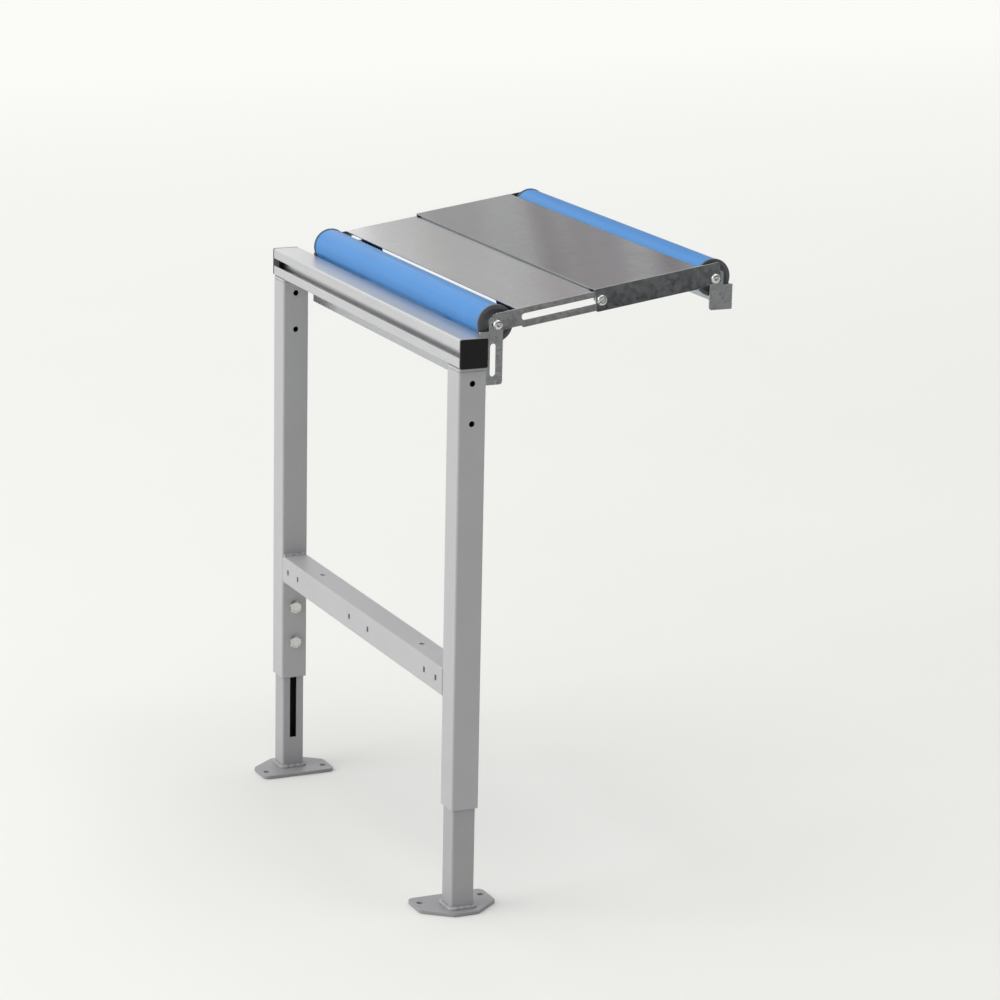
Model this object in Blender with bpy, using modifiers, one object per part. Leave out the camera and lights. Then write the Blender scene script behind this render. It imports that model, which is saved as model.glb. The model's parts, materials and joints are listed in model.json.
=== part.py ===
"""Telescoping roller transfer deck on a height-adjustable two-leg stand.

Metres, +Z up. The origin is on the floor, midway between the two feet. +X runs from the stand
towards the bench that the deck hooks onto, and +Y along the rollers, from the front to the rear.
"""

import math

import bmesh
import bpy

MM = 0.001
GAP = 0.3 * MM  # between two pieces that rest on each other
OVERCUT = 5 * MM  # how far a cutter runs past what it cuts

# Top beam: square aluminium profile with T-grooves in three of its four sides
BEAM_SIDE = 40 * MM
BEAM_LENGTH = 686 * MM
BEAM_TOP = 808 * MM
BEAM_CORNER = 2.5 * MM
GROOVE_MOUTH = 11 * MM
GROOVE_LIP = 3 * MM
GROOVE_WIDTH = 19 * MM
GROOVE_DEPTH = 9.5 * MM
CORE_BORE = 3.7 * MM
CHAMBER_WALL = 2.4 * MM
CAP_THICKNESS = 4 * MM
CAP_TONGUES = {"front": 0, "rear": 21 * MM}

# Legs: an outer tube that slides on an inner one
LEG_SIDE = 40 * MM
LEG_WALL = 2.5 * MM
LEG_CORNER = 3 * MM
LEG_FOOT_HEIGHT = 150 * MM
LEG_PLAY = 0.5 * MM
LEG_TOP_PLATE = 4 * MM
LEG_HOLE = 4.2 * MM
LEG_HOLE_DROP = 16.5 * MM
LEG_HOLE_PITCH = 55 * MM
INNER_LEG_TOP = 490 * MM
INNER_LEG_CORNER = 3 * MM
ADJUST_SLOT_BOTTOM = 53 * MM
ADJUST_SLOT_TOP = 442 * MM

# Clamp bolts that fix the outer tube at its height
CLAMP_RISE = 57 * MM
CLAMP_SHANK = 5 * MM
CLAMP_HEAD_FLATS = 17 * MM
CLAMP_HEAD = 6.4 * MM
CLAMP_PLATE = 6 * MM
CLAMP_PLATE_WIDTH = 24 * MM
CLAMP_PLATE_MARGIN = 14 * MM

# Feet
FOOT_THICKNESS = 5 * MM
FOOT_HALF_WIDTH = 57 * MM
FOOT_APEX_HALF = 18 * MM
FOOT_INBOARD = 46.5 * MM
FOOT_OUTBOARD = 32 * MM
FOOT_SHOULDER = 1 * MM
FOOT_CORNER = 9 * MM
FOOT_HOLE = 4.5 * MM
FOOT_HOLE_HALF_PITCH = 46 * MM
FOOT_HOLE_INBOARD = 25 * MM

# Crossbar between the outer legs
CROSSBAR_BOTTOM = 303 * MM
CROSSBAR_SIDE = 40 * MM
CROSSBAR_SLOT = (6 * MM, 8 * MM)
CROSSBAR_SLOTS_Y = (280 * MM, 240 * MM, 35 * MM)
CROSSBAR_TOP_HOLE = 4 * MM
CROSSBAR_TOP_HOLE_Y = 187 * MM

# Cradles: sheets with bent-up ends that carry the roller axles. They and the deck sit a little forward
# of the legs' middle
DECK_SHIFT = -16 * MM
CRADLE_THICKNESS = 2 * MM
CRADLE_HALF_LENGTH = 302 * MM
CRADLE_NECK = 20.5 * MM
CRADLE_NECK_RISE = 10 * MM
CRADLE_NECK_CORNER = 4.5 * MM
CRADLE_CORNER = 4 * MM
CRADLE_RELIEF = 1 * MM
STAND_CRADLE_BELOW = 82.5 * MM
STAND_CRADLE_SHOULDER = 9.5 * MM
STAND_CRADLE_BACK_DROP = 19.5 * MM
STAND_NECK_LEAN = 1 * MM
CRADLE_SLOT = (8.5 * MM, 45 * MM)
CRADLE_SLOT_REACH = 19.7 * MM
CRADLE_SLOT_ABOVE_FOOT = 34 * MM
CRADLE_SCREW_Y = 150 * MM
BENCH_CRADLE_BELOW = 44.5 * MM
BENCH_CRADLE_SHOULDER = 9.6 * MM
BENCH_CRADLE_BACK_DROP = 10.6 * MM
BENCH_NECK_LEAN = 3.5 * MM
BENCH_CLEARANCE = 3.259 * MM

# Deck
RIM_TO_BEAM = 1.682 * MM
AXLE_ABOVE_BEAM = 11.5 * MM
AXLE_PITCH = 327 * MM
UPPER_AXLE_DROP = 3 * MM
DECK_ANGLE = math.radians(8)
SHEET = 1.5 * MM
SHEET_GAP = 0.4 * MM
LOWER_TOP = 15.5 * MM
LOWER_EDGE_GAP = 4 * MM
LOWER_END = 200 * MM
LOWER_ARM_NOSE = 5.5 * MM
LOWER_ARM_NOSE_DEPTH = 8.6 * MM
LOWER_ARM_DEPTH = 11.6 * MM
LOWER_ARM_STEP = 34 * MM
ARM_CORNER = 4 * MM
SLOT_START = 36 * MM
SLOT_HEIGHT = 9 * MM
SLOT_RISE = 2.6 * MM
SLOT_END_MARGIN = 10 * MM
LUG_INSET = 14 * MM
LUG_INNER = 203 * MM
LUG_OUTER = 280 * MM
LUG_FOOT = -5 * MM
DECK_STEP = 1.7 * MM
UPPER_START = 145.6 * MM
UPPER_EDGE_GAP = 0.5 * MM
UPPER_ARM_NOSE = 9 * MM
UPPER_ARM_NOSE_DEPTH = 7 * MM
UPPER_ARM_DEPTH = 10 * MM
UPPER_ARM_TAPER = (30 * MM, 9 * MM)
HEM_INSET = 18 * MM
HEM_GAP = 0.5 * MM
LOCK_SCREW_AT = 154 * MM

# Rollers
ROLLER_RADIUS = 25 * MM
ROLLER_WALL = 2.8 * MM
RIM_STEP = 1 * MM
RIM_DEPTH = 3.5 * MM
ROLLER_END_PLAY = 6.4 * MM
HOUSING_DEPTH = 18 * MM
HOUSING_HUB = 12 * MM
HOUSING_HUB_RISE = 5 * MM
HOUSING_RECESS = 2.3 * MM
HOUSING_RIM_WIDTH = 5.5 * MM
HOUSING_WEB = 5 * MM
BEARING_RADIUS = 14 * MM
BEARING_WIDTH = 8 * MM
AXLE_RADIUS = 6 * MM
AXLE_THREAD_DEPTH = 24 * MM

# Screws
M8 = 4 * MM
BUTTON_RADIUS = 7 * MM
BUTTON_HEIGHT = 4.4 * MM
BUTTON_SOCKET_FLATS = 5 * MM
BUTTON_SOCKET_DEPTH = 2.4 * MM
PAN_RADIUS = 7.5 * MM
PAN_HEIGHT = 4.8 * MM
PAN_SLOT = (1.8 * MM, 2 * MM)
PAN_SLOT_ANGLE = math.radians(35)
CYLINDER_HEAD = (6.5 * MM, 8 * MM)
NUT_FLATS = 13 * MM
NUT_HEIGHT = 6.5 * MM
AXLE_SCREW_BITE = 18 * MM
T_NUT = (16 * MM, 18.2 * MM, 5.5 * MM)

ROUND = 36
FINE_ROUND = 48
SMALL_ROUND = 16
SMOOTH_BELOW = math.radians(35)

# Places worked out from the sizes above
beam_middle = BEAM_TOP - BEAM_SIDE / 2
beam_bottom = BEAM_TOP - BEAM_SIDE
leg_x = (BEAM_SIDE - LEG_SIDE) / 2
leg_y = (BEAM_LENGTH - LEG_SIDE) / 2
leg_top = beam_bottom - LEG_TOP_PLATE - 2 * GAP
leg_inner_face = leg_y - LEG_SIDE / 2
inner_leg_side = LEG_SIDE - 2 * LEG_WALL - 2 * LEG_PLAY
inner_leg_face = leg_y - inner_leg_side / 2
clamp_heights = (LEG_FOOT_HEIGHT + CLAMP_RISE, LEG_FOOT_HEIGHT + CLAMP_RISE + LEG_HOLE_PITCH)
rim_radius = ROLLER_RADIUS + RIM_STEP
cradle_back = BEAM_SIDE / 2 + GAP
axle_x = BEAM_SIDE / 2 + RIM_TO_BEAM + math.sqrt(rim_radius**2 - AXLE_ABOVE_BEAM**2)
axle_z = BEAM_TOP + AXLE_ABOVE_BEAM
axle_reach = axle_x - cradle_back
bench_reach = CRADLE_THICKNESS + BENCH_CLEARANCE + math.sqrt(rim_radius**2 - BENCH_CRADLE_BACK_DROP**2)
upper_top = LOWER_TOP + DECK_STEP + SHEET
upper_edge_back = rim_radius + UPPER_EDGE_GAP
lower_start = rim_radius + LOWER_EDGE_GAP
lug_at = lower_start + LUG_INSET
lower_arm_inner = CRADLE_HALF_LENGTH + SHEET_GAP
lower_arm_outer = lower_arm_inner + SHEET
upper_arm_inner = lower_arm_outer + SHEET_GAP
upper_arm_outer = upper_arm_inner + SHEET
bench_cradle_half = upper_arm_inner - SHEET_GAP
screw_hole = M8 + GAP
SIDES = (("front", -1), ("rear", 1))


def collection(name):
    made = bpy.data.collections.new(name)
    bpy.context.scene.collection.children.link(made)
    return made


def finish(name, colour, roughness, metallic):
    """A Principled material of one colour, given as linear red, green and blue."""
    made = bpy.data.materials.new(name)
    made.use_nodes = True
    shader = made.node_tree.nodes["Principled BSDF"]
    shader.inputs["Base Color"].default_value = (*colour, 1)
    shader.inputs["Roughness"].default_value = roughness
    shader.inputs["Metallic"].default_value = metallic
    return made


def empty(name, place, turn=0.0, parent=None):
    """An axis marker, turned about Y by the given angle."""
    made = bpy.data.objects.new(name, None)
    made.location = place
    made.rotation_euler = (0, turn, 0)
    made.parent = parent
    parts.objects.link(made)
    return made


def shown(name, mesh, material, place=(0, 0, 0), turn=(0, 0, 0), parent=None):
    made = bpy.data.objects.new(name, mesh)
    made.location = place
    made.rotation_euler = turn
    made.parent = parent
    mesh.materials.append(material)
    parts.objects.link(made)
    return made


def helper(made):
    """Turns an object into a cutter or an added lump that only a Boolean reads."""
    for held in list(made.users_collection):
        held.objects.unlink(made)
    cutters.objects.link(made)
    made.hide_render = True
    made.display_type = "WIRE"
    return made


def boolean(target, other, operation):
    change = target.modifiers.new(operation.title(), "BOOLEAN")
    change.operation = operation
    change.solver = "EXACT"
    change.object = helper(other)


def cut(target, *others):
    for other in others:
        boolean(target, other, "DIFFERENCE")


def add(target, *others):
    for other in others:
        boolean(target, other, "UNION")


def arc(centre, radius, start, end, steps):
    turns = [start + (end - start) * i / steps for i in range(steps + 1)]
    return [(centre[0] + radius * math.cos(t), centre[1] + radius * math.sin(t)) for t in turns]


def circle(centre, radius, steps=SMALL_ROUND):
    return arc(centre, radius, 0, math.tau, steps)[:-1]


def rounded(corners, steps=5):
    """An outline through (x, y, radius) corners, with each corner that has a radius turned into an arc."""
    points = []
    count = len(corners)
    for i, (x, y, radius) in enumerate(corners):
        if not radius:
            points.append((x, y))
            continue
        before = corners[i - 1]
        after = corners[(i + 1) % count]
        inward = math.atan2(before[1] - y, before[0] - x)
        outward = math.atan2(after[1] - y, after[0] - x)
        half = ((outward - inward + math.pi) % math.tau - math.pi) / 2
        reach = radius / math.sin(abs(half))
        middle = inward + half
        centre = (x + reach * math.cos(middle), y + reach * math.sin(middle))
        sweep = math.copysign(math.pi / 2 - abs(half), half)
        points += arc(centre, radius, middle + math.pi + sweep, middle + math.pi - sweep, steps)
    return points


def rectangle(low, high, radius=0.0, steps=5):
    sides = ((low[0], low[1]), (high[0], low[1]), (high[0], high[1]), (low[0], high[1]))
    return rounded([(x, y, radius) for x, y in sides], steps)


def square(side, radius, steps=5):
    return rectangle((-side / 2, -side / 2), (side / 2, side / 2), radius, steps)


PLANES = {"XY": (0, 0, 0), "XZ": (math.pi / 2, 0, 0), "YZ": (math.pi / 2, 0, math.pi / 2)}


def plate(name, outlines, thickness, plane, place, material, parent=None):
    """A flat sheet: the first outline is its edge, the others are openings in it. It is centred on place."""
    curve = bpy.data.curves.new(name, "CURVE")
    curve.dimensions = "2D"
    curve.fill_mode = "BOTH"
    curve.extrude = thickness / 2
    for outline in outlines:
        spline = curve.splines.new("POLY")
        spline.points.add(len(outline) - 1)
        for point, (x, y) in zip(spline.points, outline):
            point.co = (x, y, 0, 1)
        spline.use_cyclic_u = True
    drawn = bpy.data.objects.new(name + "_outline", curve)
    bpy.context.scene.collection.objects.link(drawn)
    graph = bpy.context.evaluated_depsgraph_get()
    mesh = bpy.data.meshes.new_from_object(drawn.evaluated_get(graph))
    bpy.data.objects.remove(drawn)
    mesh.name = name
    shape = bmesh.new()
    shape.from_mesh(mesh)
    bmesh.ops.remove_doubles(shape, verts=shape.verts, dist=1e-6)
    bmesh.ops.recalc_face_normals(shape, faces=shape.faces)
    shape.to_mesh(mesh)
    shape.free()
    mesh.shade_smooth()
    mesh.set_sharp_from_angle(angle=SMOOTH_BELOW)
    mesh.materials.clear()
    return shown(name, mesh, material, place, PLANES[plane], parent)


def block(name, low, high, material, parent=None):
    """A rectangular solid between two opposite corners."""
    mesh = bpy.data.meshes.new(name)
    shape = bmesh.new()
    bmesh.ops.create_cube(shape, size=1)
    size = [b - a for a, b in zip(low, high)]
    bmesh.ops.scale(shape, vec=size, verts=shape.verts)
    shape.to_mesh(mesh)
    shape.free()
    middle = [(a + b) / 2 for a, b in zip(low, high)]
    return shown(name, mesh, material, middle, (0, 0, 0), parent)


ALONG = {
    "+X": (0, math.pi / 2, 0),
    "+Y": (-math.pi / 2, 0, 0),
    "-Y": (math.pi / 2, 0, 0),
    "-Z": (math.pi, 0, 0),
}


def turned(name, profile, along, place, material, steps=ROUND, closed=False, parent=None):
    """A turned piece. The profile holds (radius, height) points, its height along the named axis."""
    mesh = bpy.data.meshes.new(name)
    edges = [(i, i + 1) for i in range(len(profile) - 1)]
    if closed:
        edges.append((len(profile) - 1, 0))
    mesh.from_pydata([(radius, 0, height) for radius, height in profile], edges, [])
    made = shown(name, mesh, material, place, ALONG[along], parent)
    screw = made.modifiers.new("Screw", "SCREW")
    screw.steps = steps
    screw.render_steps = steps
    screw.use_merge_vertices = True
    screw.merge_threshold = 1e-5
    screw.use_smooth_shade = True
    return made


def prism(name, flats, low, high, along, place, material, sides=6, parent=None):
    """A bar with a regular outline, such as a hexagon, measured across its flats."""
    radius = flats / 2 / math.cos(math.pi / sides)
    profile = [(0, high), (radius, high), (radius, low), (0, low)]
    made = turned(name, profile, along, place, material, sides, parent=parent)
    made.modifiers["Screw"].use_smooth_shade = False
    return made


def rod(name, radius, low, high, along, place, material, parent=None, steps=SMALL_ROUND):
    profile = [(0, high), (radius, high), (radius, low), (0, low)]
    return turned(name, profile, along, place, material, steps, parent=parent)


def outward(sign):
    return "+Y" if sign > 0 else "-Y"


def make_foot(side, sign):
    """The floor plate of one leg, wide inboard and tapered outboard, with its two anchor holes."""
    inner = -sign * FOOT_INBOARD
    shoulder = sign * FOOT_SHOULDER
    apex = sign * FOOT_OUTBOARD
    hole = -sign * FOOT_HOLE_INBOARD
    edge = rounded([
        (-FOOT_HALF_WIDTH, inner, FOOT_CORNER),
        (FOOT_HALF_WIDTH, inner, FOOT_CORNER),
        (FOOT_HALF_WIDTH, shoulder, FOOT_CORNER),
        (FOOT_APEX_HALF, apex, FOOT_CORNER),
        (-FOOT_APEX_HALF, apex, FOOT_CORNER),
        (-FOOT_HALF_WIDTH, shoulder, FOOT_CORNER),
    ])
    holes = [circle((x, hole), FOOT_HOLE) for x in (-FOOT_HOLE_HALF_PITCH, FOOT_HOLE_HALF_PITCH)]
    middle = (leg_x, sign * leg_y, FOOT_THICKNESS / 2)
    plate(f"foot_plate_{side}", [edge, *holes], FOOT_THICKNESS, "XY", middle, coat)


def make_inner_leg(side, sign):
    """The lower tube, welded to the foot, with the long slot that the clamp bolts run in."""
    bottom = FOOT_THICKNESS + GAP
    outlines = [
        square(inner_leg_side, INNER_LEG_CORNER),
        square(inner_leg_side - 2 * LEG_WALL, INNER_LEG_CORNER / 4, 2),
    ]
    middle = (leg_x, sign * leg_y, (bottom + INNER_LEG_TOP) / 2)
    tube = plate(f"inner_leg_{side}", outlines, INNER_LEG_TOP - bottom, "XY", middle, coat)
    half = CLAMP_SHANK + GAP
    slot = rectangle((-half, ADJUST_SLOT_BOTTOM), (half, ADJUST_SLOT_TOP))
    wall = (leg_x, sign * (inner_leg_face + LEG_WALL / 2), 0)
    cut(tube, plate(f"adjust_slot_{side}", [slot], 2 * LEG_WALL, "XZ", wall, coat))


def make_outer_leg(side, sign):
    """The upper tube. Two holes go right through it at the top, two take the clamp bolts below."""
    outlines = [
        square(LEG_SIDE, LEG_CORNER),
        square(LEG_SIDE - 2 * LEG_WALL, LEG_CORNER / 6, 2),
    ]
    middle = (leg_x, sign * leg_y, (LEG_FOOT_HEIGHT + leg_top) / 2)
    tube = plate(f"outer_leg_{side}", outlines, leg_top - LEG_FOOT_HEIGHT, "XY", middle, coat)
    for i in range(2):
        drop = LEG_HOLE_DROP + i * LEG_HOLE_PITCH
        centre = (leg_x, sign * leg_y, leg_top - drop)
        cut(tube, rod(f"leg_hole_{side}_{i}", LEG_HOLE, -LEG_SIDE, LEG_SIDE, "+Y", centre, coat))
        wall = (leg_x, sign * (leg_inner_face + LEG_WALL / 2), clamp_heights[i])
        cut(tube, rod(f"clamp_hole_{side}_{i}", CLAMP_SHANK + GAP, -LEG_WALL, LEG_WALL, "+Y", wall, coat))
    cap = (leg_x, sign * leg_y, beam_bottom - GAP - LEG_TOP_PLATE / 2)
    outline = [square(LEG_SIDE, LEG_CORNER), circle((-leg_x, 0), screw_hole)]
    plate(f"leg_top_plate_{side}", outline, LEG_TOP_PLATE, "XY", cap, coat)


def make_clamp(side, sign):
    """Two hexagon bolts that pull a threaded plate against the wall of the inner leg."""
    back = inner_leg_face + LEG_WALL + GAP
    reach = back + CLAMP_PLATE + 2 * MM - leg_inner_face
    low, high = clamp_heights
    outline = rectangle(
        (-CLAMP_PLATE_WIDTH / 2, low - CLAMP_PLATE_MARGIN),
        (CLAMP_PLATE_WIDTH / 2, high + CLAMP_PLATE_MARGIN),
    )
    holes = [circle((0, height), CLAMP_SHANK + GAP) for height in clamp_heights]
    middle = (leg_x, sign * (back + CLAMP_PLATE / 2), 0)
    plate(f"clamp_plate_{side}", [outline, *holes], CLAMP_PLATE, "XZ", middle, zinc)
    for label, height in zip(("lower", "upper"), clamp_heights):
        name = f"clamp_bolt_{side}_{label}"
        face = (leg_x, sign * leg_inner_face, height)
        along = outward(-sign)
        bolt = prism(name, CLAMP_HEAD_FLATS, GAP, GAP + CLAMP_HEAD, along, face, zinc)
        add(bolt, rod(name + "_shank", CLAMP_SHANK, -reach, CLAMP_HEAD, along, face, zinc))


def make_crossbar():
    """The tube between the legs, with small slots in its outer face and two holes in its top."""
    half = leg_inner_face - GAP
    middle_z = CROSSBAR_BOTTOM + CROSSBAR_SIDE / 2
    outlines = [
        square(CROSSBAR_SIDE, LEG_CORNER),
        square(CROSSBAR_SIDE - 2 * LEG_WALL, LEG_CORNER / 6, 2),
    ]
    bar = plate("crossbar", outlines, 2 * half, "XZ", (leg_x, 0, middle_z), coat)
    width, height = CROSSBAR_SLOT
    face = leg_x - CROSSBAR_SIDE / 2
    for i, y in enumerate([sign * y for y in CROSSBAR_SLOTS_Y for _, sign in SIDES]):
        low = (face - LEG_WALL, y - width / 2, middle_z - height / 2)
        high = (face + 2 * LEG_WALL, y + width / 2, middle_z + height / 2)
        cut(bar, block(f"crossbar_slot_{i}", low, high, coat))
    for side, sign in SIDES:
        top = (leg_x, sign * CROSSBAR_TOP_HOLE_Y, CROSSBAR_BOTTOM + CROSSBAR_SIDE)
        cut(bar, rod(f"crossbar_hole_{side}", CROSSBAR_TOP_HOLE, -2 * LEG_WALL, LEG_WALL, "-Z", top, coat))


def beam_outline():
    """The beam's section: the T-groove steps in from the middle of each side but the top."""
    half = BEAM_SIDE / 2
    mouth = GROOVE_MOUTH / 2
    wide = GROOVE_WIDTH / 2
    groove = [
        (-mouth, half, 0), (-mouth, half - GROOVE_LIP, 0), (-wide, half - GROOVE_LIP, 0),
        (-wide, half - GROOVE_DEPTH, 0), (wide, half - GROOVE_DEPTH, 0),
        (wide, half - GROOVE_LIP, 0), (mouth, half - GROOVE_LIP, 0), (mouth, half, 0),
    ]
    corners = []
    for quarter in range(4):
        cos, sin = ((1, 0), (0, 1), (-1, 0), (0, -1))[quarter]
        side = [(-half, half, BEAM_CORNER)] + (groove if quarter else [])
        corners += [(x * cos + y * sin, y * cos - x * sin, radius) for x, y, radius in side]
    return rounded(corners)


def make_beam():
    half = BEAM_SIDE / 2
    chamber = rectangle(
        (-half + CHAMBER_WALL, GROOVE_WIDTH / 2 + CHAMBER_WALL),
        (half - CHAMBER_WALL, half - CHAMBER_WALL),
        BEAM_CORNER / 2,
    )
    outlines = [beam_outline(), circle((0, 0), CORE_BORE), chamber]
    plate("top_beam", outlines, BEAM_LENGTH, "XZ", (0, 0, beam_middle), aluminium)
    for side, sign in SIDES:
        start = BEAM_LENGTH / 2 + GAP
        middle = (0, sign * (start + (CAP_THICKNESS - GAP) / 2), beam_middle)
        outline = [square(BEAM_SIDE, BEAM_CORNER)]
        cap = plate(f"beam_end_cap_{side}", outline, CAP_THICKNESS - GAP, "XZ", middle, black)
        plug = (0, sign * start, beam_middle)
        plug_rod = rod(f"cap_plug_{side}", CORE_BORE - GAP, -12 * MM, 1 * MM, outward(sign), plug, black)
        add(cap, plug_rod)
        for groove_side in (-1, 1) if CAP_TONGUES[side] else ():
            across = sorted((groove_side * half, groove_side * (half - GROOVE_LIP + GAP)))
            along = sorted((sign * (start + 1 * MM), sign * (start - CAP_TONGUES[side])))
            tall = GROOVE_MOUTH / 2 - GAP
            low = (across[0], along[0], beam_middle - tall)
            high = (across[1], along[1], beam_middle + tall)
            add(cap, block(f"cap_tongue_{side}_{groove_side}", low, high, black))


def make_t_nut(name, place, plane):
    """A nut in a T-groove, long along the beam."""
    length, width, thickness = T_NUT
    along = (length, width) if plane == "YZ" else (width, length)
    outline = rectangle((-along[0] / 2, -along[1] / 2), (along[0] / 2, along[1] / 2))
    plate(name, [outline, circle((0, 0), screw_hole)], thickness, plane, place, zinc)


def make_beam_screws(side, sign):
    """The screw that holds the beam to the top of one leg, and its nut in the beam's lower groove."""
    head_radius, head_height = CYLINDER_HEAD
    under = leg_top
    profile_top = beam_bottom + GROOVE_DEPTH - 2 * GAP - under
    head_low = GAP
    profile = [
        (0, head_height + head_low), (head_radius, head_height + head_low), (head_radius, head_low),
        (M8, head_low), (M8, -profile_top), (0, -profile_top),
    ]
    place = (0, sign * leg_y, under + GAP)
    screw = turned(f"beam_screw_{side}", profile, "-Z", place, zinc, SMALL_ROUND)
    socket = (0, sign * leg_y, under - head_height)
    cut(screw, prism(f"beam_screw_socket_{side}", 6 * MM, -4 * MM, 2 * MM, "-Z", socket, zinc))
    nut_z = beam_bottom + GROOVE_LIP + GAP + T_NUT[2] / 2
    make_t_nut(f"beam_nut_{side}", (0, sign * leg_y, nut_z), "XY")


def make_cradle(name, sizes, facing, back_holes, slot, place, parent):
    """A sheet folded to a channel: a back plate and, at each end, an ear whose neck takes the axle screw.

    place is on the axle's line. sizes are the back plate's distance from the axle, half the channel's length,
    how far its foot, its shoulder and its back plate's top lie below the axle, and how far the neck leans
    towards the back plate. facing is +1 where the back plate lies on the -X side of the axle, and -1 on the
    other side.
    """
    reach, half, below, shoulder, back_drop, lean = sizes
    near = -CRADLE_NECK / 2 - lean
    far = CRADLE_NECK / 2 - lean
    inner = half - CRADLE_THICKNESS
    fold = CRADLE_THICKNESS - reach
    channel = [
        (-reach, -half), (far + OVERCUT, -half), (far + OVERCUT, -inner), (fold, -inner),
        (fold, inner), (far + OVERCUT, inner), (far + OVERCUT, half), (-reach, half),
    ]
    tall = below + CRADLE_NECK_RISE + 2 * OVERCUT
    middle = (place[0], place[1], place[2] + (CRADLE_NECK_RISE - below) / 2)
    outline = [(facing * x, y) for x, y in channel]
    cradle = plate(name, [outline], tall, "XY", middle, galvanised, parent)
    ear = rounded([
        (facing * x, z, radius) for x, z, radius in (
            (-reach - OVERCUT, -below, 0),
            (far, -below, CRADLE_CORNER),
            (far, CRADLE_NECK_RISE, CRADLE_NECK_CORNER),
            (near, CRADLE_NECK_RISE, CRADLE_NECK_CORNER),
            (near, -shoulder, 0),
            (-reach - OVERCUT, -shoulder, 0),
        )
    ])
    openings = [circle((0, 0), screw_hole)]
    if slot:
        low, high = slot
        openings.append(rectangle(low, high, (high[0] - low[0]) / 2 * 0.999))
    length = 2 * (half + OVERCUT)
    profile = plate(f"{name}_profile", [ear, *openings], length, "XZ", place, galvanised, parent)
    boolean(cradle, profile, "INTERSECT")
    across = sorted((facing * (-reach - OVERCUT), facing * (fold + OVERCUT)))
    relief = inner - CRADLE_RELIEF
    low = (place[0] + across[0], place[1] - relief, place[2] - back_drop)
    high = (place[0] + across[1], place[1] + relief, place[2] + CRADLE_NECK_RISE + OVERCUT)
    cut(cradle, block(f"{name}_back_top", low, high, galvanised, parent))
    for side, sign in SIDES:
        centre = (place[0] - facing * reach, place[1] + sign * CRADLE_SCREW_Y, place[2] + back_holes)
        hole = rod(f"{name}_hole_{side}", screw_hole, -OVERCUT, OVERCUT, "+X", centre, galvanised, parent)
        cut(cradle, hole)
    return cradle


def make_stand_cradle():
    """The galvanised sheet behind the beam, screwed to its groove, that carries the lower roller."""
    width, length = CRADLE_SLOT
    slot_middle = CRADLE_SLOT_REACH - axle_reach
    slot_low = -STAND_CRADLE_BELOW + CRADLE_SLOT_ABOVE_FOOT - length / 2
    slot = ((slot_middle - width / 2, slot_low), (slot_middle + width / 2, slot_low + length))
    sizes = (
        axle_reach, CRADLE_HALF_LENGTH, STAND_CRADLE_BELOW, STAND_CRADLE_SHOULDER, STAND_CRADLE_BACK_DROP,
        STAND_NECK_LEAN,
    )
    make_cradle("stand_cradle", sizes, 1, beam_middle - axle_z, slot, (axle_x, DECK_SHIFT, axle_z), None)
    for side, sign in SIDES:
        screw_y = DECK_SHIFT + sign * CRADLE_SCREW_Y
        head = (cradle_back + CRADLE_THICKNESS + GAP, screw_y, beam_middle)
        reach = head[0] - (BEAM_SIDE / 2 - GROOVE_DEPTH + GAP)
        make_button_screw(f"cradle_screw_{side}", reach, "+X", head)
        nut_x = BEAM_SIDE / 2 - GROOVE_LIP - GAP - T_NUT[2] / 2
        make_t_nut(f"cradle_nut_{side}", (nut_x, screw_y, beam_middle), "YZ")


def make_bench_cradle(parent):
    """The galvanised sheet that lies against the bench edge and carries the upper roller."""
    back_middle = -(BENCH_CRADLE_BELOW + BENCH_CRADLE_BACK_DROP) / 2
    sizes = (
        bench_reach, bench_cradle_half, BENCH_CRADLE_BELOW, BENCH_CRADLE_SHOULDER, BENCH_CRADLE_BACK_DROP,
        BENCH_NECK_LEAN,
    )
    make_cradle("bench_cradle", sizes, -1, back_middle, None, (0, 0, 0), parent)


def make_button_screw(name, reach, along, place, parent=None):
    """A button-head screw with a hexagon socket. place is the underside of its head."""
    dome = arc((0, 0), 1, math.pi / 2, 0, 4)
    flat = BUTTON_RADIUS * 0.45
    profile = [(0, BUTTON_HEIGHT)]
    profile += [(flat + (BUTTON_RADIUS - flat) * x, BUTTON_HEIGHT * (0.15 + 0.85 * y)) for x, y in dome]
    profile += [(BUTTON_RADIUS, 0), (M8, 0), (M8, -reach), (0, -reach)]
    screw = turned(name, profile, along, place, zinc, SMALL_ROUND + 4, parent=parent)
    floor = BUTTON_HEIGHT - BUTTON_SOCKET_DEPTH
    top = 2 * BUTTON_HEIGHT
    socket = prism(name + "_socket", BUTTON_SOCKET_FLATS, floor, top, along, place, zinc, parent=parent)
    cut(screw, socket)


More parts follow.
